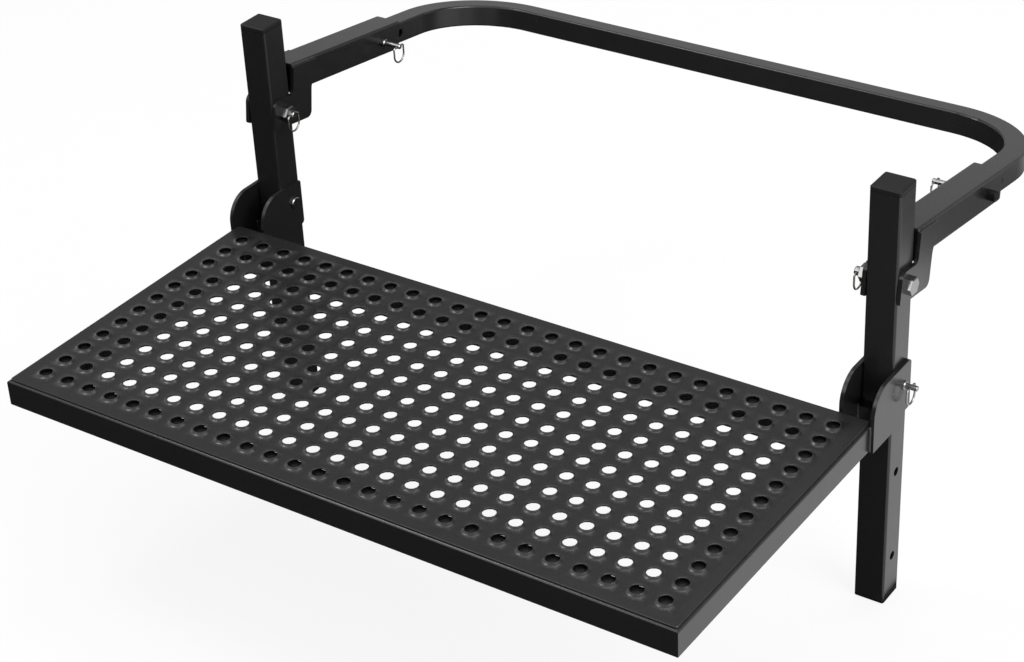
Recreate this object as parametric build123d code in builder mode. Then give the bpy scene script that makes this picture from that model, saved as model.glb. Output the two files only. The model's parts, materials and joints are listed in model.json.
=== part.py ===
from build123d import *
import math
import os

# Folding tire step. X runs to the right, Y back towards the tire and Z up, in millimetres.
# The origin is midway between the posts, on the plane of their back faces, level with the tread.

# Posts: square tube with plastic caps
post_size = 31.75
post_wall = 2.0
post_corner = 2.5
post_above_tread = 215.0
post_below_tread = 235.0
cap_head = 5.0
cap_edge = 1.2
cap_seam = 0.4
cap_plug_depth = 18.0
cap_plug_wall = 2.0
cap_plug_gap = 0.1

# Platform: mitred tube frame under a perforated sheet
platform_width = 758.0
platform_depth = 355.0
rail_width = 38.1
rail_height = 28.6
rail_wall = 2.0
rail_corner = 2.5
tread_thickness = 2.0
tread_inset = 2.5
tread_corner = 3.0
hole_margin = 27.0
hole_pitch_x = 28.1
hole_pitch_y = 27.3
hole_diameter = 14.0
hole_sides = 8

# Platform hinge: two ears beside each post, a drawn pin and a stop bar
side_gap = 0.25
ear_thickness = 4.0
ear_lap = 8.0
ear_above_tread = 33.0
ear_nose_radius = 28.0
ear_back_inset = 2.5
ear_corner = 4.0
ear_heel_drop = 20.0
ear_step_gap = 1.0
platform_setback = 37.5
hinge_above_tread = 10.5
height_hole_pitch = 100.0
height_holes = 3
stop_thickness = 6.0
stop_height = 16.0
stop_rise = 3.0
stop_gap = 0.2

# Loop hinge: two brackets beside each post, welded to a sleeve
loop_hinge_above_tread = 119.0
loop_droop = 8.0
fold_gap = 0.5
sleeve_wall = 3.0
sleeve_corner = 2.5
sleeve_end_gap = 0.6
sleeve_length = 191.5
bracket_thickness = 4.0
bracket_toe = 16.0
bracket_below = 16.5
bracket_toe_top = 16.5
bracket_neck = 15.0
bracket_heel = 45.5
bracket_weld_end = 52.0
bracket_top_inset = 2.0
bracket_toe_round = 9.0
bracket_neck_round = 5.0
bracket_heel_round = 7.0
bracket_corner = 3.0

# Loop: one bent tube that slides in the sleeves
slide_gap = 1.125
loop_wall = 2.0
loop_corner = 2.0
loop_depth = 354.0
loop_bend_radius = 96.0
leg_end_margin = 16.0
width_pin_inset = 32.0
width_hole_pitch = 40.0
width_holes_before = 2
width_holes_after = 1

# Pins, bolts and their wire rings
pin_diameter = 9.0
pin_fit = 0.08
pin_neck_diameter = 5.5
pin_edge = 0.8
hinge_pin_shoulder = 2.0
hinge_pin_neck = 12.0
hinge_pin_ring = 5.0
hinge_head_lip = 2.0
hinge_head_thickness = 3.0
width_pin_shoulder = 6.0
width_pin_neck = 20.0
width_pin_ring = 17.0
hexagon_lip = 3.5
bolt_head_thickness = 6.0
bolt_nut_thickness = 8.0
bolt_tail = 6.0
bolt_ring = 3.0
grip_wall = 2.75
grip_length = 10.0
grip_bore_depth = 7.0
grip_round = 2.0
ring_wire = 2.0
ring_fit = 0.15
ring_width = 17.0
ring_drop = 10.0
ring_elbow = 2.5

# Places that follow from those sizes
hole_columns = int((platform_width - 2 * hole_margin) / hole_pitch_x) + 1
hole_rows = int((platform_depth - 2 * hole_margin) / hole_pitch_y) + 1
post_y = -post_size / 2
post_front = -post_size
post_x = platform_width / 2 - side_gap - post_size / 2
platform_rear = post_front - platform_setback
platform_front = platform_rear - platform_depth
platform_mid = (platform_front + platform_rear) / 2
rail_z = -tread_thickness - rail_height / 2
platform_bottom = -tread_thickness - rail_height
beside_post = post_size / 2 + side_gap
sleeve_size = 2 * beside_post
loop_rise = post_size / 2 + fold_gap + sleeve_size / 2
sleeve_start = post_size / 2 + sleeve_end_gap
loop_size = sleeve_size - 2 * sleeve_wall - 2 * slide_gap
width_pin_reach = sleeve_start + sleeve_length - width_pin_inset
pin_hole_radius = pin_diameter / 2 + pin_fit
ring_hole_radius = ring_wire / 2 + ring_fit
droop = math.radians(loop_droop)
along_loop = Vector(0, math.cos(droop), -math.sin(droop))
above_loop = Vector(0, math.sin(droop), math.cos(droop))
loop_pivot = Vector(0, post_y, loop_hinge_above_tread)
width_pin_place = loop_pivot + along_loop * width_pin_reach + above_loop * loop_rise
sides = {"left": -1, "right": 1}

os.makedirs("parts", exist_ok=True)


def save(piece, label):
    """Name a finished piece and write it."""
    piece.part.label = label
    export_step(piece.part, f"parts/{label}.step")


def bracket_plane(x):
    """Plane beside a post: first axis along the loop, second axis square to it, origin on the pivot."""
    return Plane(origin=loop_pivot + Vector(x, 0, 0), x_dir=along_loop, z_dir=(1, 0, 0))


def post(side, sign):
    """Square tube with the height holes and the loop's pivot hole across it."""
    with BuildPart() as tube:
        with BuildSketch(Plane.XY.offset(-post_below_tread)):
            with Locations((sign * post_x, post_y)):
                RectangleRounded(post_size, post_size, post_corner)
                Rectangle(post_size - 2 * post_wall, post_size - 2 * post_wall, mode=Mode.SUBTRACT)
        extrude(amount=post_below_tread + post_above_tread)
        with BuildSketch(Plane.YZ.offset(sign * post_x)):
            for step in range(height_holes):
                with Locations((post_y, hinge_above_tread - step * height_hole_pitch)):
                    Circle(pin_hole_radius)
            with Locations((post_y, loop_hinge_above_tread)):
                Circle(pin_hole_radius)
        extrude(amount=post_size, both=True, mode=Mode.SUBTRACT)
    save(tube, f"{side}_post")


def cap(label, sign, end_z, outward):
    """Plastic plug: a flat head on the tube's end and a hollow square plug inside it."""
    plug_size = post_size - 2 * post_wall - 2 * cap_plug_gap
    with BuildPart() as plug:
        with BuildSketch(Plane.XY.offset(end_z)):
            with Locations((sign * post_x, post_y)):
                RectangleRounded(post_size, post_size, post_corner)
        extrude(amount=outward * cap_head)
        rims = plug.edges().filter_by(Plane.XY).group_by(Axis.Z)
        chamfer(rims[-1 if outward > 0 else 0], length=cap_edge)
        chamfer(rims[0 if outward > 0 else -1], length=cap_seam)
        with BuildSketch(Plane.XY.offset(end_z)):
            with Locations((sign * post_x, post_y)):
                Rectangle(plug_size, plug_size)
                Rectangle(plug_size - 2 * cap_plug_wall, plug_size - 2 * cap_plug_wall, mode=Mode.SUBTRACT)
        extrude(amount=-outward * cap_plug_depth)
    save(plug, label)


def tread():
    """Perforated sheet on the frame, its holes in a straight grid."""
    sheet_width = platform_width - 2 * tread_inset
    sheet_depth = platform_depth - 2 * tread_inset
    flat_on_axis = 180 / hole_sides
    with BuildPart() as sheet:
        with BuildSketch(Plane.XY.offset(-tread_thickness)):
            with Locations((0, platform_mid)):
                RectangleRounded(sheet_width, sheet_depth, tread_corner)
                with GridLocations(hole_pitch_x, hole_pitch_y, hole_columns, hole_rows):
                    RegularPolygon(hole_diameter / 2, hole_sides, rotation=flat_on_axis, mode=Mode.SUBTRACT)
        extrude(amount=tread_thickness)
    save(sheet, "tread_plate")


def cross_rail(label, y_outer, inward):
    """Front or rear tube of the frame, mitred at both ends."""
    half = platform_width / 2
    with BuildPart() as tube:
        with BuildSketch(Plane.YZ.offset(-half)):
            with Locations((y_outer + inward * rail_width / 2, rail_z)):
                RectangleRounded(rail_width, rail_height, rail_corner)
                Rectangle(rail_width - 2 * rail_wall, rail_height - 2 * rail_wall, mode=Mode.SUBTRACT)
        extrude(amount=platform_width)
        for sign in sides.values():
            mitre = Plane(origin=(sign * half, y_outer, rail_z), z_dir=(sign, inward, 0))
            split(bisect_by=mitre, keep=Keep.BOTTOM)
    save(tube, label)


def side_rail(side, sign):
    """Left or right tube of the frame, mitred at both ends."""
    half = platform_width / 2
    with BuildPart() as tube:
        with BuildSketch(Plane.XZ.offset(-platform_front)):
            with Locations((sign * (half - rail_width / 2), rail_z)):
                RectangleRounded(rail_width, rail_height, rail_corner)
                Rectangle(rail_width - 2 * rail_wall, rail_height - 2 * rail_wall, mode=Mode.SUBTRACT)
        extrude(amount=-platform_depth)
        for y_outer, inward in ((platform_front, 1), (platform_rear, -1)):
            mitre = Plane(origin=(sign * half, y_outer, rail_z), z_dir=(-sign, -inward, 0))
            split(bisect_by=mitre, keep=Keep.BOTTOM)
    save(tube, f"{side}_rail")


def ear(label, x_face, front):
    """Hinge plate of the platform: round nose in front, heel behind the pin, cut away below for the post."""
    step_y = post_front - ear_step_gap
    nose = (front, ear_above_tread)
    back_top = (-ear_back_inset, ear_above_tread)
    heel = (-ear_back_inset, -ear_heel_drop)
    radii = {nose: ear_nose_radius, back_top: ear_corner, heel: ear_corner}
    outline = [
        (front, platform_bottom),
        nose,
        back_top,
        heel,
        (step_y, -ear_heel_drop),
        (step_y, platform_bottom),
    ]
    with BuildPart() as plate:
        with BuildSketch(Plane.YZ.offset(x_face)) as profile:
            with BuildLine():
                Polyline(*outline, close=True)
            make_face()
            for corner, radius in radii.items():
                fillet(profile.vertices().sort_by_distance(Vector(*corner))[0], radius=radius)
            with Locations((post_y, hinge_above_tread)):
                Circle(pin_hole_radius, mode=Mode.SUBTRACT)
        extrude(amount=ear_thickness)
    save(plate, label)


def stop_bar(side, sign):
    """Flat bar between two ears that bears on the front of the post."""
    with BuildPart() as bar:
        with BuildSketch(Plane.XY.offset(platform_bottom + stop_rise)):
            with Locations((sign * post_x, post_front - stop_gap - stop_thickness / 2)):
                Rectangle(2 * beside_post, stop_thickness)
        extrude(amount=stop_height)
    save(bar, f"{side}_stop_bar")


def sleeve(side, sign):
    """Square tube behind a post, with the hole for the width pin."""
    opening = sleeve_size - 2 * sleeve_wall
    start = loop_pivot + Vector(sign * post_x, 0, 0) + along_loop * sleeve_start + above_loop * loop_rise
    with BuildPart() as tube:
        with BuildSketch(Plane(origin=start, x_dir=(1, 0, 0), z_dir=along_loop)):
            RectangleRounded(sleeve_size, sleeve_size, sleeve_corner)
            Rectangle(opening, opening, mode=Mode.SUBTRACT)
        extrude(amount=sleeve_length)
        with BuildSketch(bracket_plane(sign * post_x)):
            with Locations((width_pin_reach, loop_rise)):
                Circle(pin_hole_radius)
        extrude(amount=sleeve_size, both=True, mode=Mode.SUBTRACT)
    save(tube, f"{side}_sleeve")


def bracket(label, x_face):
    """Hinge plate of the loop: its toe straddles the post and its upper part is welded to the sleeve."""
    top = loop_rise + sleeve_size / 2 - bracket_top_inset
    weld_foot = loop_rise - sleeve_size / 2
    toe_bottom = (-bracket_toe, -bracket_below)
    toe_top = (-bracket_toe, bracket_toe_top)
    neck_foot = (bracket_neck, bracket_toe_top)
    neck_top = (bracket_neck, top)
    weld_end = (bracket_weld_end, top)
    heel_top = (bracket_heel, weld_foot)
    heel_bottom = (bracket_heel, -bracket_below)
    radii = {
        toe_bottom: bracket_corner,
        toe_top: bracket_toe_round,
        neck_foot: bracket_neck_round,
        neck_top: bracket_corner,
        heel_bottom: bracket_heel_round,
    }
    outline = [toe_bottom, toe_top, neck_foot, neck_top, weld_end, heel_top, heel_bottom]
    with BuildPart() as plate:
        with BuildSketch(bracket_plane(x_face)) as profile:
            with BuildLine():
                Polyline(*outline, close=True)
            make_face()
            for corner, radius in radii.items():
                fillet(profile.vertices().sort_by_distance(Vector(*corner))[0], radius=radius)
            Circle(pin_hole_radius, mode=Mode.SUBTRACT)
        extrude(amount=bracket_thickness)
    save(plate, label)


def tire_loop():
    """U of bent square tube with adjusting holes across both legs."""
    opening = loop_size - 2 * loop_wall
    first_hole = width_pin_reach - width_holes_before * width_hole_pitch
    holes = [first_hole + n * width_hole_pitch for n in range(width_holes_before + 1 + width_holes_after)]
    leg_start = first_hole - leg_end_margin
    base = loop_pivot + above_loop * loop_rise
    corners = [(-post_x, leg_start), (-post_x, loop_depth), (post_x, loop_depth), (post_x, leg_start)]
    with BuildPart() as tube:
        with BuildLine(Plane(origin=base, x_dir=(1, 0, 0), z_dir=above_loop)) as path:
            FilletPolyline(*corners, radius=loop_bend_radius)
        leg_end = base + along_loop * leg_start - Vector(post_x, 0, 0)
        with BuildSketch(Plane(origin=leg_end, x_dir=(1, 0, 0), z_dir=along_loop)):
            RectangleRounded(loop_size, loop_size, loop_corner)
            Rectangle(opening, opening, mode=Mode.SUBTRACT)
        sweep(path=path.line)
        for sign in sides.values():
            with BuildSketch(bracket_plane(sign * post_x)):
                for reach in holes:
                    with Locations((reach, loop_rise)):
                        Circle(pin_hole_radius)
            extrude(amount=loop_size, both=True, mode=Mode.SUBTRACT)
    save(tube, "tire_loop")


def turned_outline(outward, start, shoulder, tip):
    """Half section of a pin along X: the shaft up to its shoulder, then a thinner neck to the tip."""
    shaft = pin_diameter / 2
    neck = pin_neck_diameter / 2
    return [
        (start, shaft),
        (shoulder - outward * pin_edge, shaft),
        (shoulder, shaft - pin_edge),
        (shoulder, neck),
        (tip - outward * pin_edge, neck),
        (tip, neck - pin_edge),
        (tip, 0),
    ]


def hinge_pin(label, place, outward, seat, far_side):
    """Pin of the platform: a disc head on the inner ear and a neck with its ring past the outer ear."""
    shoulder = far_side + outward * hinge_pin_shoulder
    tip = shoulder + outward * hinge_pin_neck
    ring_x = shoulder + outward * hinge_pin_ring
    with BuildPart() as turned:
        with BuildSketch(Plane(origin=(0, place.Y, place.Z))):
            with BuildLine():
                Polyline((seat, 0), *turned_outline(outward, seat, shoulder, tip), close=True)
            make_face()
        revolve(axis=Axis((0, place.Y, place.Z), (1, 0, 0)))
        with BuildSketch(Plane.YZ.offset(seat)):
            with Locations((place.Y, place.Z)):
                Circle(pin_diameter / 2 + hinge_head_lip)
        extrude(amount=-outward * hinge_head_thickness)
        chamfer(turned.edges().group_by(Axis.X)[0 if outward > 0 else -1], length=pin_edge)
        with Locations((ring_x, place.Y, place.Z)):
            Cylinder(ring_hole_radius, 2 * pin_diameter, rotation=(90, 0, 0), mode=Mode.SUBTRACT)
    save(turned, label)
    return Vector(ring_x, place.Y, place.Z)


def width_pin(label, place, outward, seat, far_side):
    """Pin across sleeve and leg: a tang for the grip outside and a long neck with its ring inside."""
    shoulder = far_side + outward * width_pin_shoulder
    tip = shoulder + outward * width_pin_neck
    ring_x = shoulder + outward * width_pin_ring
    tang_end = seat - outward * grip_bore_depth
    tang = pin_neck_diameter / 2
    with BuildPart() as turned:
        with BuildSketch(Plane(origin=(0, place.Y, place.Z))):
            with BuildLine():
                Polyline(
                    (tang_end, 0),
                    (tang_end, tang),
                    (seat, tang),
                    *turned_outline(outward, seat, shoulder, tip),
                    close=True,
                )
            make_face()
        revolve(axis=Axis((0, place.Y, place.Z), (1, 0, 0)))
        with Locations((ring_x, place.Y, place.Z)):
            Cylinder(ring_hole_radius, 2 * pin_diameter, rotation=(90, 0, 0), mode=Mode.SUBTRACT)
    save(turned, label)
    return Vector(ring_x, place.Y, place.Z)


def loop_bolt(label, place, outward, seat, nut_face):
    """Hexagon-headed pivot of the loop, which ends past its nut with a cross hole for a ring."""
    tip = nut_face + outward * bolt_tail
    ring_x = nut_face + outward * bolt_ring
    with BuildPart() as bolt:
        with BuildSketch(Plane.YZ.offset(seat)):
            with Locations((place.Y, place.Z)):
                Circle(pin_diameter / 2)
        extrude(amount=tip - seat)
        with BuildSketch(Plane.YZ.offset(seat)):
            with Locations((place.Y, place.Z)):
                RegularPolygon(pin_diameter / 2 + hexagon_lip, 6, major_radius=False)
        extrude(amount=-outward * bolt_head_thickness)
        chamfer(bolt.edges().group_by(Axis.X)[0], length=pin_edge)
        chamfer(bolt.edges().group_by(Axis.X)[-1], length=pin_edge)
        with Locations((ring_x, place.Y, place.Z)):
            Cylinder(ring_hole_radius, 2 * pin_diameter, rotation=(90, 0, 0), mode=Mode.SUBTRACT)
    save(bolt, label)
    return Vector(ring_x, place.Y, place.Z)


def loop_nut(label, place, outward, seat):
    """Hexagon nut on the inner end of a loop bolt."""
    with BuildPart() as nut:
        with BuildSketch(Plane.YZ.offset(seat)):
            with Locations((place.Y, place.Z)):
                RegularPolygon(pin_diameter / 2 + hexagon_lip, 6, major_radius=False)
                Circle(pin_hole_radius, mode=Mode.SUBTRACT)
        extrude(amount=outward * bolt_nut_thickness)
        free_face = nut.faces().sort_by(Axis.X)[-1 if outward > 0 else 0]
        chamfer(free_face.outer_wire().edges(), length=pin_edge)
    save(nut, label)


def ring(label, eye):
    """Wire ring: its straight side runs through the pin's cross hole and the bow hangs below."""
    half = ring_width / 2
    bend = ring_elbow
    inset = bend * (1 - math.sqrt(0.5))
    with BuildPart() as wire:
        with BuildLine(Plane(origin=eye, x_dir=(0, 1, 0), z_dir=(1, 0, 0))) as path:
            Line((-half + bend, 0), (half - bend, 0))
            ThreePointArc((half - bend, 0), (half - inset, -inset), (half, -bend))
            Line((half, -bend), (half, -ring_drop))
            ThreePointArc((half, -ring_drop), (0, -ring_drop - half), (-half, -ring_drop))
            Line((-half, -ring_drop), (-half, -bend))
            ThreePointArc((-half, -bend), (-half + inset, -inset), (-half + bend, 0))
        with BuildSketch(Plane(origin=eye - Vector(0, half - bend, 0), z_dir=(0, 1, 0))):
            Circle(ring_wire / 2)
        sweep(path=path.wire())
    save(wire, label)


def grip(label, place, outward, seat):
    """Plastic grip on the headed end of a width pin, with a blind bore for it."""
    end = seat + outward * grip_length
    with BuildPart() as handle:
        with BuildSketch(Plane.YZ.offset(seat)):
            with Locations((place.Y, place.Z)):
                Circle(pin_neck_diameter / 2 + grip_wall)
        extrude(amount=end - seat)
        fillet(handle.edges().group_by(Axis.X)[-1 if outward > 0 else 0], radius=grip_round)
        with BuildSketch(Plane.YZ.offset(seat)):
            with Locations((place.Y, place.Z)):
                Circle(pin_neck_diameter / 2 + pin_fit)
        extrude(amount=outward * (grip_bore_depth + pin_fit), mode=Mode.SUBTRACT)
    save(handle, label)


tread()
cross_rail("front_rail", platform_front, 1)
cross_rail("rear_rail", platform_rear, -1)
tire_loop()

for side, sign in sides.items():
    inner = sign * (post_x - beside_post)
    outer = sign * (post_x + beside_post)
    hinge = Vector(0, post_y, hinge_above_tread)

    post(side, sign)
    cap(f"{side}_post_top_cap", sign, post_above_tread, 1)
    cap(f"{side}_post_foot_cap", sign, -post_below_tread, -1)
    side_rail(side, sign)

    outer_ear_x = outer if sign > 0 else outer - ear_thickness
    inner_ear_x = inner - ear_thickness if sign > 0 else inner
    ear(f"{side}_outer_ear", outer_ear_x, platform_rear - ear_lap)
    ear(f"{side}_inner_ear", inner_ear_x, platform_rear)
    stop_bar(side, sign)

    outer_bracket_x = outer if sign > 0 else outer - bracket_thickness
    inner_bracket_x = inner - bracket_thickness if sign > 0 else inner
    bracket(f"{side}_outer_bracket", outer_bracket_x)
    bracket(f"{side}_inner_bracket", inner_bracket_x)
    sleeve(side, sign)

    inner_ear_side = inner - sign * ear_thickness
    outer_ear_side = outer + sign * ear_thickness
    hinge_eye = hinge_pin(f"{side}_hinge_pin", hinge, sign, inner_ear_side, outer_ear_side)
    ring(f"{side}_hinge_ring", hinge_eye)

    inner_bracket_side = inner - sign * bracket_thickness
    outer_bracket_side = outer + sign * bracket_thickness
    nut_face = inner_bracket_side - sign * bolt_nut_thickness
    loop_eye = loop_bolt(f"{side}_loop_bolt", loop_pivot, -sign, outer_bracket_side, nut_face)
    loop_nut(f"{side}_loop_nut", loop_pivot, -sign, inner_bracket_side)
    ring(f"{side}_loop_ring", loop_eye)

    width_eye = width_pin(f"{side}_width_pin", width_pin_place, -sign, outer, inner)
    grip(f"{side}_width_grip", width_pin_place, sign, outer)
    ring(f"{side}_width_ring", width_eye)
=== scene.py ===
import json
import math

import bmesh
import bpy
from mathutils import Matrix, Vector


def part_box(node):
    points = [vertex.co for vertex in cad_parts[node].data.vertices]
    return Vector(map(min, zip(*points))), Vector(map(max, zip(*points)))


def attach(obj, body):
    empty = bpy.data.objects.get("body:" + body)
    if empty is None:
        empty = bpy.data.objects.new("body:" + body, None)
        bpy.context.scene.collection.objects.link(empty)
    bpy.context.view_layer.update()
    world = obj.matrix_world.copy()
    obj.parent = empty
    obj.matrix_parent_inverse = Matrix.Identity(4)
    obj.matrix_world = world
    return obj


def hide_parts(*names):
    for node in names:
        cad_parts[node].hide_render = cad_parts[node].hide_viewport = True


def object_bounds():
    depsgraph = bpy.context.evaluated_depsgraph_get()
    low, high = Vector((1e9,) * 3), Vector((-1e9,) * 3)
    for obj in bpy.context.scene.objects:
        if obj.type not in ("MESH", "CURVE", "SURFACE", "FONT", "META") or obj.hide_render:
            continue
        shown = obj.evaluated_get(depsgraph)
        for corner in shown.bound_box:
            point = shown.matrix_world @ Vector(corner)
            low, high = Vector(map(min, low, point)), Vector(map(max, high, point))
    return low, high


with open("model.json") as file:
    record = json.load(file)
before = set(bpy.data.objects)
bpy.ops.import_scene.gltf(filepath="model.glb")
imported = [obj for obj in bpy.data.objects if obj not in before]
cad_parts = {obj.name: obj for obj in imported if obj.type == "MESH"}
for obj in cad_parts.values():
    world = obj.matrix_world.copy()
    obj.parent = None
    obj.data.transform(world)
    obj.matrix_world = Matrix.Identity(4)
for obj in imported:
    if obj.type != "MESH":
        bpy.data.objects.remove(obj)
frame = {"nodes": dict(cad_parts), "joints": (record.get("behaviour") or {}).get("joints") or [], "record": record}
cad_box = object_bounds()

# Camera: where it stands in metres, how it is turned in degrees, and its lens in millimetres
CAMERA_PLACE = Vector((1.1697, -1.7451, 1.2402))
CAMERA_AZIMUTH = -35.478
CAMERA_ELEVATION = 31.618
CAMERA_ROLL = 3.007
CAMERA_LENS = 84.11
CAMERA_SENSOR = 36.0

# Studio, in metres and watts: each lamp's place, size and power, all turned towards one point
FLOOR_REACH = 30.0
FLOOR_LIFT = 0.85
FLOOR_FLECKS = 25.0
FLOOR_DARK = 0.86
FLOOR_PALE = 0.90
WORLD_LEVEL = 0.55
LAMP_AIM = Vector((0.0, -0.1, 0.05))
LAMPS = {
    "key_right": ((2.6, -0.6, 1.7), 1.8, 60.0),
    "fill_front": ((-1.2, -2.6, 1.8), 1.6, 12.0),
    "top_back": ((0.2, 1.2, 2.6), 1.8, 25.0),
    "rim_light": ((-1.1, -0.55, 2.0), 0.7, 14.0),
}

# Cards that only reflections see: lying ones by their X and Y ranges and brightness, standing ones by their
# X range, place in Y, heights above the floor and brightness
CARD_FOOT = 0.001
LYING_SPLIT = 0.385
STANDING_SPLIT = 0.69
LYING_CARDS = {
    "floor_card": ((-3.0, LYING_SPLIT), (-3.0, 2.5), 0.02),
    "right_floor_card": ((LYING_SPLIT, 3.0), (0.60, 2.5), 0.22),
}
STANDING_CARDS = {
    "back_card": ((-2.5, 1.5), 0.9, (STANDING_SPLIT, 2.44), 0.30),
    "low_back_card": ((-2.5, 1.5), 0.9, (CARD_FOOT, STANDING_SPLIT), 0.55),
    "front_card": ((-3.0, 0.45), -3.0, (CARD_FOOT, 1.44), 0.02),
}

# Powder coat: features per metre of its clouds, gloss, dust and orange peel, and the peel's depth in metres
COAT_CLOUDS = 9.0
COAT_GLOSS = 60.0
COAT_DUST = 1400.0
COAT_PEEL = 420.0
COAT_FINE_PEEL = 1600.0
PEEL_DEPTH = 0.0002
DUST_SHADE = 0.12

# Moulded plastic and zinc: features per metre, zinc colours, and the depth of grain and tool lines in metres
PLASTIC_GRAIN = 2600.0
PLASTIC_PATCHES = 40.0
ZINC_CLOUDS = 220.0
ZINC_LINES = 900.0
ZINC_STRETCH = (6.0, 0.4, 0.4)
ZINC_DARK = (0.26, 0.27, 0.28, 1.0)
ZINC_PALE = (0.44, 0.43, 0.40, 1.0)
GRAIN_DEPTH = 0.0001

# Pressed tread, in metres: a straight grid of holes, each with a raised rim
HOLE_PITCH_X = 0.0281
HOLE_PITCH_Y = 0.0273
HOLE_MARGIN = 0.027
HOLE_SEGMENTS = 12
RIM_TOP_PROFILE = [(0.0104, 0.0), (0.0088, 0.0008), (0.0073, 0.0021), (0.0066, 0.0019)]
RIM_UNDER_PROFILE = [(0.0067, 0.0010), (0.0080, -0.0004)]
RIM_FOOT_RADIUS = 0.0104
TREAD_CORNER = 0.003
TREAD_EDGE = 0.0004
CORNER_STEPS = 4
MERGE_DISTANCE = 0.00002
CREASE_ANGLE = 40.0

# Loop: its droop in degrees
LOOP_DROOP = 8.0

# Weld beads, in metres; a bracket's weld is given by its corners along and above the loop from its pivot
BEAD_RADIUS = 0.0019
BEAD_SPACING = 0.0014
BEAD_SEED = 7
BEAD_SEGMENTS = 8
BEAD_RINGS = 6
BEAD_SMALLEST = (0.8, 0.8, 0.8)
BEAD_LARGEST = (1.1, 1.1, 1.1)
WELD_INSET = 0.002
TACK_LENGTH = 0.022
TACK_PITCH = 0.110
TACK_END = 0.05
BRACKET_WELD = [(0.0175, 0.0466), (0.0520, 0.0466), (0.0465, 0.0190)]

SIDES = {"left": -1, "right": 1}


class Wire:
    """A node's output that takes part in sums: each operator adds one Math node."""

    def __init__(self, board, socket):
        self.board = board
        self.socket = socket

    def maths(self, operation, first, second):
        return self.board.node("ShaderNodeMath", {"operation": operation}, {0: first, 1: second})

    def __add__(self, other):
        return self.maths("ADD", self, other)

    def __radd__(self, other):
        return self.maths("ADD", other, self)

    def __sub__(self, other):
        return self.maths("SUBTRACT", self, other)

    def __rsub__(self, other):
        return self.maths("SUBTRACT", other, self)

    def __mul__(self, other):
        return self.maths("MULTIPLY", self, other)

    def __rmul__(self, other):
        return self.maths("MULTIPLY", other, self)


class Board:
    """A node tree under construction."""

    def __init__(self, tree):
        self.tree = tree
        tree.nodes.clear()

    def node(self, kind, settings=None, inputs=None, output=0):
        """Add one node: its settings first, then a value or a link for each socket, and give one output."""
        made = self.tree.nodes.new(kind)
        for key, value in (settings or {}).items():
            setattr(made, key, value)
        for key, value in (inputs or {}).items():
            if isinstance(value, Wire):
                self.tree.links.new(value.socket, made.inputs[key])
            else:
                made.inputs[key].default_value = value
        return Wire(self, made.outputs[output]) if made.outputs else None


def link(made):
    """Put an object in the scene."""
    bpy.context.scene.collection.objects.link(made)
    return made


def new_finish(name):
    """A blank node material and the board to build it on."""
    material = bpy.data.materials.new(name)
    material.use_nodes = True
    return material, Board(material.node_tree)


def noise(board, place, scale, detail=2.0, roughness=0.5):
    """Fractal noise read at a place, in features per metre."""
    inputs = {"Vector": place, "Scale": scale, "Detail": detail, "Roughness": roughness}
    return board.node("ShaderNodeTexNoise", None, inputs)


def between(board, value, low, high):
    """Map 0 to 1 on the range from low to high, without going past it."""
    return board.node("ShaderNodeMapRange", {"clamp": True}, {0: value, 3: low, 4: high})


def rising(board, value, start, end):
    """A smooth step from 0 at start to 1 at end."""
    settings = {"interpolation_type": "SMOOTHSTEP", "clamp": True}
    return board.node("ShaderNodeMapRange", settings, {0: value, 1: start, 2: end})


def mixed(board, factor, first, second):
    """A colour part of the way from the first to the second."""
    settings = {"data_type": "RGBA"}
    return board.node("ShaderNodeMix", settings, {0: factor, 6: first, 7: second}, output=2)


def grey(level, warmth=0.0):
    """A near-neutral colour, a little warm or cold."""
    return (level * (1 + warmth), level, level * (1 - warmth), 1.0)


def powder_coat(name, shade, gloss_low, gloss_high, peel):
    """Black powder coat: orange peel, faint clouding, fine dust on what faces up."""
    material, board = new_finish(name)
    place = board.node("ShaderNodeTexCoord", None, None, output=3)
    facing = board.node("ShaderNodeTexCoord", None, None, output=1)
    up = board.node("ShaderNodeSeparateXYZ", None, {0: facing}, output=2)
    clouds = noise(board, place, COAT_CLOUDS, 3.0)
    specks = rising(board, noise(board, place, COAT_DUST, 2.0), 0.60, 0.75)
    dust = specks * rising(board, up, 0.2, 0.9) * rising(board, clouds, 0.35, 0.7)
    body = mixed(board, clouds, grey(shade * 0.85, -0.02), grey(shade * 1.15, 0.02))
    colour = mixed(board, dust * 0.25, body, grey(DUST_SHADE, 0.03))
    gloss = between(board, noise(board, place, COAT_GLOSS, 3.0), gloss_low, gloss_high)
    ripple = noise(board, place, COAT_PEEL, 1.0) + 0.35 * noise(board, place, COAT_FINE_PEEL, 1.0)
    normal = board.node("ShaderNodeBump", None, {
        "Strength": peel, "Distance": PEEL_DEPTH, "Height": ripple})
    shader = board.node("ShaderNodeBsdfPrincipled", None, {
        "Base Color": colour, "Roughness": gloss + dust * 0.2, "Normal": normal, "IOR": 1.5})
    board.node("ShaderNodeOutputMaterial", None, {"Surface": shader})
    return material


def moulded_plastic(name, shade, shine):
    """Black moulded plastic with a fine spark-eroded grain."""
    material, board = new_finish(name)
    place = board.node("ShaderNodeTexCoord", None, None, output=3)
    grain = noise(board, place, PLASTIC_GRAIN, 2.0)
    patches = noise(board, place, PLASTIC_PATCHES, 2.0)
    colour = mixed(board, patches, grey(shade * 0.8), grey(shade * 1.2))
    normal = board.node("ShaderNodeBump", None, {
        "Strength": 0.35, "Distance": GRAIN_DEPTH, "Height": grain})
    shader = board.node("ShaderNodeBsdfPrincipled", None, {
        "Base Color": colour, "Roughness": between(board, patches, 0.40, 0.55), "Normal": normal,
        "Specular IOR Level": shine})
    board.node("ShaderNodeOutputMaterial", None, {"Surface": shader})
    return material


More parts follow.
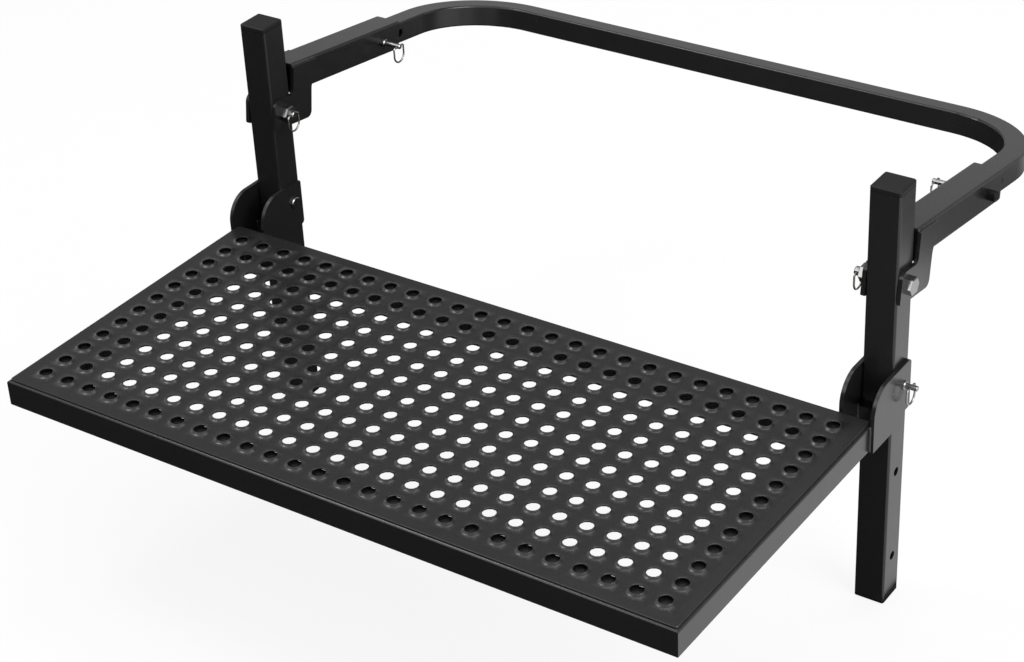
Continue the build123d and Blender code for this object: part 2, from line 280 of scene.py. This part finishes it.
def zinc_plate(name):
    """Bright zinc on turned steel: fine tool lines across X and a clouded, faintly warm passivation."""
    material, board = new_finish(name)
    place = board.node("ShaderNodeTexCoord", None, None, output=3)
    clouds = noise(board, place, ZINC_CLOUDS, 3.0)
    stretched = board.node("ShaderNodeMapping", None, {"Vector": place, "Scale": ZINC_STRETCH})
    lines = noise(board, stretched, ZINC_LINES, 2.0)
    colour = mixed(board, clouds, ZINC_DARK, ZINC_PALE)
    normal = board.node("ShaderNodeBump", None, {
        "Strength": 0.15, "Distance": GRAIN_DEPTH, "Height": lines})
    shader = board.node("ShaderNodeBsdfPrincipled", None, {
        "Base Color": colour, "Metallic": 1.0, "Roughness": between(board, clouds, 0.14, 0.28),
        "Normal": normal})
    board.node("ShaderNodeOutputMaterial", None, {"Surface": shader})
    return material


def look_axes(azimuth, elevation, roll):
    """The camera's right, up and backward directions for the given angles in degrees."""
    turn, tilt = math.radians(azimuth), math.radians(elevation)
    ahead = Vector((math.cos(tilt) * math.sin(turn), math.cos(tilt) * math.cos(turn), -math.sin(tilt)))
    right = ahead.cross(Vector((0, 0, 1))).normalized()
    spin = Matrix.Rotation(math.radians(roll), 3, ahead)
    right = spin @ right
    return right, right.cross(ahead), -ahead


def photo_camera():
    """The camera at the photograph's viewing angle."""
    data = bpy.data.cameras.new("photo_camera")
    data.lens = CAMERA_LENS
    data.sensor_width = CAMERA_SENSOR
    camera = link(bpy.data.objects.new("photo_camera", data))
    axes = look_axes(CAMERA_AZIMUTH, CAMERA_ELEVATION, CAMERA_ROLL)
    camera.matrix_world = Matrix.Translation(CAMERA_PLACE) @ Matrix(axes).transposed().to_4x4()
    bpy.context.scene.camera = camera


def seen_directly(board):
    """1 for rays from the camera, mirrors and glass, and 0 for the light that reaches the object."""
    ray = "ShaderNodeLightPath"
    camera = board.node(ray, None, None, output=0)
    glossy = board.node(ray, None, None, output=3)
    glass = board.node(ray, None, None, output=6)
    settings = {"operation": "MAXIMUM"}
    return board.node("ShaderNodeMath", settings, {
        0: board.node("ShaderNodeMath", settings, {0: camera, 1: glossy}), 1: glass})


def white_world(level):
    """White to look at, with a softer even light on the object."""
    world = bpy.data.worlds.new("studio")
    bpy.context.scene.world = world
    world.use_nodes = True
    board = Board(world.node_tree)
    strength = between(board, seen_directly(board), level, 1.0)
    shader = board.node("ShaderNodeBackground", None, {"Color": (1, 1, 1, 1), "Strength": strength})
    board.node("ShaderNodeOutputWorld", None, {"Surface": shader})


def floor_finish(lift):
    """Pale floor that shows almost white and still takes the shadow."""
    material, board = new_finish("pale_floor")
    place = board.node("ShaderNodeTexCoord", None, None, output=3)
    paper = mixed(board, noise(board, place, FLOOR_FLECKS), grey(FLOOR_DARK), grey(FLOOR_PALE))
    matt = board.node("ShaderNodeBsdfDiffuse", None, {"Color": paper})
    glow = board.node("ShaderNodeEmission", None, {"Color": (1, 1, 1, 1), "Strength": 1.0})
    share = seen_directly(board) * lift
    shader = board.node("ShaderNodeMixShader", None, {0: share, 1: matt, 2: glow})
    board.node("ShaderNodeOutputMaterial", None, {"Surface": shader})
    return material


def sheet_mesh(name, corners):
    """One flat four-sided face."""
    mesh = bpy.data.meshes.new(name)
    mesh.from_pydata([tuple(c) for c in corners], [], [range(len(corners))])
    return mesh


def dark_card(name, corners, level):
    """A dark card that only reflections see, as one set beside a product in a studio."""
    material, board = new_finish(name)
    glow = board.node("ShaderNodeEmission", None, {"Color": grey(1.0), "Strength": level})
    board.node("ShaderNodeOutputMaterial", None, {"Surface": glow})
    card = link(bpy.data.objects.new(name, sheet_mesh(name, corners)))
    card.data.materials.append(material)
    card.visible_camera = False
    card.visible_diffuse = False
    card.visible_transmission = False
    card.visible_shadow = False


def lying_card(name, x_range, y_range, level, brightness):
    """A card that lies flat."""
    (left, right), (near, far) = x_range, y_range
    corners = [(left, near, level), (right, near, level), (right, far, level), (left, far, level)]
    dark_card(name, corners, brightness)


def standing_card(name, x_range, y, z_range, brightness):
    """A card that stands square to Y."""
    (left, right), (foot, head) = x_range, z_range
    dark_card(name, [(left, y, foot), (right, y, foot), (right, y, head), (left, y, head)], brightness)


def soft_lamp(name, place, size, power):
    """A square lamp turned towards the object."""
    data = bpy.data.lights.new(name, "AREA")
    data.size = size
    data.energy = power
    lamp = link(bpy.data.objects.new(name, data))
    lamp.location = place
    lamp.rotation_euler = (LAMP_AIM - place).to_track_quat("-Z", "Y").to_euler()


def studio(floor_level):
    """Floor, world, soft lamps and the dark cards that a black object mirrors."""
    signs = ((-1, -1), (1, -1), (1, 1), (-1, 1))
    corners = [(sx * FLOOR_REACH, sy * FLOOR_REACH, floor_level) for sx, sy in signs]
    floor = link(bpy.data.objects.new("floor", sheet_mesh("floor", corners)))
    floor.data.materials.append(floor_finish(FLOOR_LIFT))
    white_world(WORLD_LEVEL)
    for name, (place, size, power) in LAMPS.items():
        soft_lamp(name, Vector(place), size, power)
    for name, (x_range, y_range, brightness) in LYING_CARDS.items():
        lying_card(name, x_range, y_range, floor_level + CARD_FOOT, brightness)
    for name, (x_range, y, heights, brightness) in STANDING_CARDS.items():
        standing_card(name, x_range, y, [floor_level + h for h in heights], brightness)


def smooth_with_creases(mesh):
    """Join what meets, turn the faces outwards, shade smoothly and keep the sharp edges sharp."""
    work = bmesh.new()
    work.from_mesh(mesh)
    bmesh.ops.remove_doubles(work, verts=work.verts, dist=MERGE_DISTANCE)
    bmesh.ops.recalc_face_normals(work, faces=work.faces)
    for face in work.faces:
        face.smooth = True
    for edge in work.edges:
        edge.smooth = not edge.is_manifold or edge.calc_face_angle() < math.radians(CREASE_ANGLE)
    work.to_mesh(mesh)
    work.free()


def plain_mesh(host, name):
    """The evaluated result of an object's modifiers as a new plain object, with the host removed."""
    evaluated = host.evaluated_get(bpy.context.evaluated_depsgraph_get())
    mesh = bpy.data.meshes.new_from_object(evaluated)
    mesh.name = name
    host.modifiers.clear()
    bpy.data.objects.remove(host)
    return link(bpy.data.objects.new(name, mesh))


def new_tree(name, sizes):
    """A geometry tree with named inputs, its board, its input wires and the identifiers of its sockets."""
    tree = bpy.data.node_groups.new(name, "GeometryNodeTree")
    tree.interface.new_socket("Geometry", in_out="INPUT", socket_type="NodeSocketGeometry")
    tree.interface.new_socket("Geometry", in_out="OUTPUT", socket_type="NodeSocketGeometry")
    keys = {}
    for label, kind in sizes.items():
        socket = tree.interface.new_socket(label, in_out="INPUT", socket_type=f"NodeSocket{kind}")
        keys[label] = socket.identifier
    board = Board(tree)
    entry = tree.nodes.new("NodeGroupInput")
    wires = {label: Wire(board, entry.outputs[label]) for label in ("Geometry", *sizes)}
    return tree, board, wires, keys


def grown(host, tree, keys, values, name):
    """Run a tree on a host object with the given sizes and give the plain result."""
    modifier = host.modifiers.new(tree.name, "NODES")
    modifier.node_group = tree
    for label, value in values.items():
        modifier[keys[label]] = value
    return plain_mesh(host, name)


def hole_angles():
    """Directions of a hole's corners: the diagonals of its cell are among them."""
    step = 2 * math.pi / HOLE_SEGMENTS
    return [step * (n + 0.5) for n in range(HOLE_SEGMENTS)]


def on_cell(angle):
    """Where a direction from a hole's middle meets the edge of its cell."""
    across, along = math.cos(angle), math.sin(angle)
    widest = max(abs(across), abs(along))
    return (across / widest * HOLE_PITCH_X / 2, along / widest * HOLE_PITCH_Y / 2)


def hole_cell(thickness):
    """One cell of the tread: flat sheet that rises to a pressed lip round the hole and flares back below."""
    loops = [[(*on_cell(a), 0.0) for a in hole_angles()]]
    for radius, height in [*RIM_TOP_PROFILE, *RIM_UNDER_PROFILE, (RIM_FOOT_RADIUS, -thickness)]:
        loops.append([(radius * math.cos(a), radius * math.sin(a), height) for a in hole_angles()])
    loops.append([(*on_cell(a), -thickness) for a in hole_angles()])
    work = bmesh.new()
    rows = [[work.verts.new(p) for p in loop] for loop in loops]
    bridge(work, rows)
    mesh = bpy.data.meshes.new("hole_cell")
    work.to_mesh(mesh)
    work.free()
    return bpy.data.objects.new("hole_cell", mesh)


def bridge(work, rows):
    """Faces between each closed row of corners and the next."""
    for first, second in zip(rows, rows[1:]):
        for n in range(len(first)):
            m = (n + 1) % len(first)
            work.faces.new((first[n], first[m], second[m], second[n]))


def side_stations(count, pitch):
    """Places along one side of the grid where cells have corners."""
    nearest = pitch / 2 * math.tan(math.pi / HOLE_SEGMENTS)
    first = -count * pitch / 2
    places = []
    for n in range(count):
        middle = first + (n + 0.5) * pitch
        places += [first + n * pitch, middle - nearest, middle + nearest]
    return places


def tread_border(columns, rows, half_x, half_y, thickness):
    """The plain margin between the grid of cells and the sheet's own outline, which has rounded corners."""
    across = side_stations(columns, HOLE_PITCH_X)
    along = side_stations(rows, HOLE_PITCH_Y)
    grid_x, grid_y = columns * HOLE_PITCH_X / 2, rows * HOLE_PITCH_Y / 2
    inner = [(x, -grid_y) for x in across] + [(grid_x, y) for y in along]
    inner += [(-x, -y) for x, y in inner]
    work = bmesh.new()

    def outline_points(x, y, inset):
        """Points of the outline that face one point of the grid's edge."""
        wide, deep = half_x - inset, half_y - inset
        sx, sy = math.copysign(1, x), math.copysign(1, y)
        on_x, on_y = abs(abs(x) - grid_x) < MERGE_DISTANCE, abs(abs(y) - grid_y) < MERGE_DISTANCE
        if not (on_x and on_y):
            return [(sx * wide, y)] if on_x else [(x, sy * deep)]
        start = 0 if sx * sy > 0 else math.pi / 2
        turn = -1 if sx * sy < 0 else 1
        radius = TREAD_CORNER - inset
        arc = []
        for n in range(CORNER_STEPS + 1):
            swing = start + turn * n / CORNER_STEPS * math.pi / 2
            arc.append((sx * (wide - radius + radius * math.cos(swing)),
                        sy * (deep - radius + radius * math.sin(swing))))
        ends = [(sx * wide, y), (x, sy * deep)]
        return [ends[0], *arc, ends[1]] if start == 0 else [ends[1], *arc, ends[0]]

    def row(level, inset):
        return [[work.verts.new((*p, level)) for p in outline_points(x, y, inset)] for x, y in inner]

    def margin(level, fans, turned):
        """Faces from the grid's edge to the outline."""
        edge = [work.verts.new((x, y, level)) for x, y in inner]
        for n, fan in enumerate(fans):
            m = (n + 1) % len(fans)
            faces = [(edge[n], a, b) for a, b in zip(fan, fan[1:])]
            faces.append((edge[n], fan[-1], fans[m][0], edge[m]))
            for face in faces:
                work.faces.new(face[::-1] if turned else face)

    brow = row(0.0, TREAD_EDGE)
    upper = row(-TREAD_EDGE, 0.0)
    lower = row(-thickness, 0.0)
    margin(0.0, brow, False)
    margin(-thickness, lower, True)
    bridge(work, [[v for fan in ring for v in fan] for ring in (brow, upper, lower)])
    mesh = bpy.data.meshes.new("tread_border")
    work.to_mesh(mesh)
    work.free()
    return mesh


def tread_tree():
    """Cells set out on a straight grid and joined to the sheet's margin."""
    sizes = {"Columns": "Int", "Rows": "Int", "Pitch X": "Float", "Pitch Y": "Float", "Cell": "Object",
             "Finish": "Material"}
    tree, board, wires, keys = new_tree("pressed_tread", sizes)
    grid = board.node("GeometryNodeMeshGrid", None, {
        "Size X": (wires["Columns"] - 1) * wires["Pitch X"],
        "Size Y": (wires["Rows"] - 1) * wires["Pitch Y"],
        "Vertices X": wires["Columns"], "Vertices Y": wires["Rows"]})
    cell = board.node("GeometryNodeObjectInfo", None, {"Object": wires["Cell"]}, output="Geometry")
    cells = board.node("GeometryNodeInstanceOnPoints", None, {"Points": grid, "Instance": cell})
    joined = board.tree.nodes.new("GeometryNodeJoinGeometry")
    for part in (wires["Geometry"], cells):
        board.tree.links.new(part.socket, joined.inputs[0])
    real = board.node("GeometryNodeRealizeInstances", None, {"Geometry": Wire(board, joined.outputs[0])})
    painted = board.node("GeometryNodeSetMaterial", None, {"Geometry": real, "Material": wires["Finish"]})
    board.node("NodeGroupOutput", None, {"Geometry": painted})
    return tree, keys


def pressed_tread(finish):
    """The perforated sheet with its raised lips, in the place of the plain one."""
    low, high = (Vector(c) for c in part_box("tread_plate"))
    rail_low, rail_high = (Vector(c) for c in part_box("front_rail"))
    width = rail_high.x - rail_low.x
    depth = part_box("rear_rail")[1][1] - rail_low.y
    columns = int((width - 2 * HOLE_MARGIN) / HOLE_PITCH_X) + 1
    rows = int((depth - 2 * HOLE_MARGIN) / HOLE_PITCH_Y) + 1
    thickness = high.z - low.z
    half = (high - low) / 2
    host = link(bpy.data.objects.new("tread_host", tread_border(columns, rows, half.x, half.y, thickness)))
    cell = link(hole_cell(thickness))
    tree, keys = tread_tree()
    values = {"Columns": columns, "Rows": rows, "Pitch X": HOLE_PITCH_X, "Pitch Y": HOLE_PITCH_Y,
              "Cell": cell, "Finish": finish}
    tread = grown(host, tree, keys, values, "pressed_tread")
    bpy.data.objects.remove(cell)
    tread.data.transform(Matrix.Translation(((low.x + high.x) / 2, (low.y + high.y) / 2, high.z)))
    smooth_with_creases(tread.data)
    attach(tread, "platform")
    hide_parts("tread_plate")


def weld_tree():
    """Overlapping beads along every edge of the host."""
    sizes = {"Spacing": "Float", "Radius": "Float", "Seed": "Int", "Finish": "Material"}
    tree, board, wires, keys = new_tree("weld_beads", sizes)
    curve = board.node("GeometryNodeMeshToCurve", None, {"Mesh": wires["Geometry"]})
    dots = board.node("GeometryNodeCurveToPoints", {"mode": "LENGTH"}, {
        "Curve": curve, "Length": wires["Spacing"]})
    ball = board.node("GeometryNodeMeshUVSphere", None, {
        "Segments": BEAD_SEGMENTS, "Rings": BEAD_RINGS, "Radius": wires["Radius"]})
    bead = board.node("GeometryNodeSetShadeSmooth", None, {"Geometry": ball})
    scale = board.node("FunctionNodeRandomValue", {"data_type": "FLOAT_VECTOR"}, {
        "Min": BEAD_SMALLEST, "Max": BEAD_LARGEST, "Seed": wires["Seed"]})
    beads = board.node("GeometryNodeInstanceOnPoints", None, {
        "Points": dots, "Instance": bead, "Scale": scale})
    real = board.node("GeometryNodeRealizeInstances", None, {"Geometry": beads})
    painted = board.node("GeometryNodeSetMaterial", None, {"Geometry": real, "Material": wires["Finish"]})
    board.node("NodeGroupOutput", None, {"Geometry": painted})
    return tree, keys


def welds(name, body, runs, tree, keys, finish):
    """One piece of weld beads for a body, from the ends of its runs."""
    mesh = bpy.data.meshes.new(name)
    ends = [tuple(p) for run in runs for p in run]
    mesh.from_pydata(ends, [(2 * n, 2 * n + 1) for n in range(len(runs))], [])
    host = link(bpy.data.objects.new(name, mesh))
    values = {"Spacing": BEAD_SPACING, "Radius": BEAD_RADIUS, "Seed": BEAD_SEED, "Finish": finish}
    beads = grown(host, tree, keys, values, name)
    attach(beads, body)


def platform_welds():
    """Ends of the weld runs on the frame, the ears and the stop bars."""
    rail_low, rail_high = (Vector(c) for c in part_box("rear_rail"))
    front_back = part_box("front_rail")[1][1]
    gap = rail_low.y - front_back
    foot, head = rail_low.z + WELD_INSET, rail_high.z - WELD_INSET
    runs = []
    for side, sign in SIDES.items():
        for place in ("outer", "inner"):
            low, high = (Vector(c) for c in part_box(f"{side}_{place}_ear"))
            if place == "outer":
                inner_face = min(abs(low.x), abs(high.x)) * sign
                runs.append(((inner_face, low.y, foot), (inner_face, low.y, head)))
            else:
                runs += [((x, low.y, foot), (x, low.y, head)) for x in (low.x, high.x)]
        low, high = (Vector(c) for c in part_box(f"{side}_stop_bar"))
        runs += [((x, low.y, low.z), (x, low.y, high.z)) for x in (low.x, high.x)]
        rail = [Vector(c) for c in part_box(f"{side}_rail")]
        inner_x = rail[0].x if sign > 0 else rail[1].x
        runs += [((inner_x, y, foot), (inner_x, y, head)) for y in (front_back, rail_low.y)]
        tacks = int(gap / TACK_PITCH)
        for n in range(tacks):
            start = front_back + (n + 0.5) * gap / tacks
            runs.append(((inner_x, start, rail_high.z), (inner_x, start + TACK_LENGTH, rail_high.z)))
    for y in (front_back, rail_low.y):
        half = rail_high.x - TACK_END
        tacks = int(2 * half / TACK_PITCH)
        for n in range(tacks):
            start = -half + (n + 0.5) * 2 * half / tacks
            runs.append(((start, y, rail_high.z), (start + TACK_LENGTH, y, rail_high.z)))
    return runs


def loop_welds():
    """Ends of the weld runs along the top and rear edges of the brackets, on the sides of the sleeves."""
    tilt = math.radians(LOOP_DROOP)
    along = Vector((0, math.cos(tilt), -math.sin(tilt)))
    above = Vector((0, math.sin(tilt), math.cos(tilt)))
    pivot = next(Vector(j["pos_m"]) for j in frame["joints"] if j["name"] == "loop_fold")
    runs = []
    for side in SIDES:
        low, high = (Vector(c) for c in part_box(f"{side}_sleeve"))
        for x in (low.x, high.x):
            corners = [pivot + along * s + above * h for s, h in BRACKET_WELD]
            for corner in corners:
                corner.x = x
            runs += list(zip(corners, corners[1:]))
    return runs


FINISHES = {
    "black_coat": powder_coat("black_powder_coat", 0.010, 0.20, 0.30, 0.15),
    # Tread: the same black coat made a little lighter, which is painted light standing in for the light that falls
    # on the up-facing sheet; its gloss and peel differ too.
    "tread_coat": powder_coat("tread_coat_painted_lighter", 0.012, 0.22, 0.34, 0.20),
    "cap_plastic": moulded_plastic("cap_plastic", 0.008, 0.22),
    "grip_plastic": moulded_plastic("grip_plastic", 0.004, 0.15),
    "zinc_plate": zinc_plate("zinc_plate"),
}

photo_camera()
studio(cad_box[0][2])

for subpart in frame["record"]["subparts"]:
    node = frame["nodes"][subpart["node"]]
    node.data.materials.clear()
    node.data.materials.append(FINISHES[subpart["material_slot"]])

pressed_tread(FINISHES["tread_coat"])
bead_tree, bead_keys = weld_tree()
welds("platform_welds", "platform", platform_welds(), bead_tree, bead_keys, FINISHES["black_coat"])
welds("loop_welds", "loop", loop_welds(), bead_tree, bead_keys, FINISHES["black_coat"])

bpy.context.scene.view_settings.view_transform = "Standard"
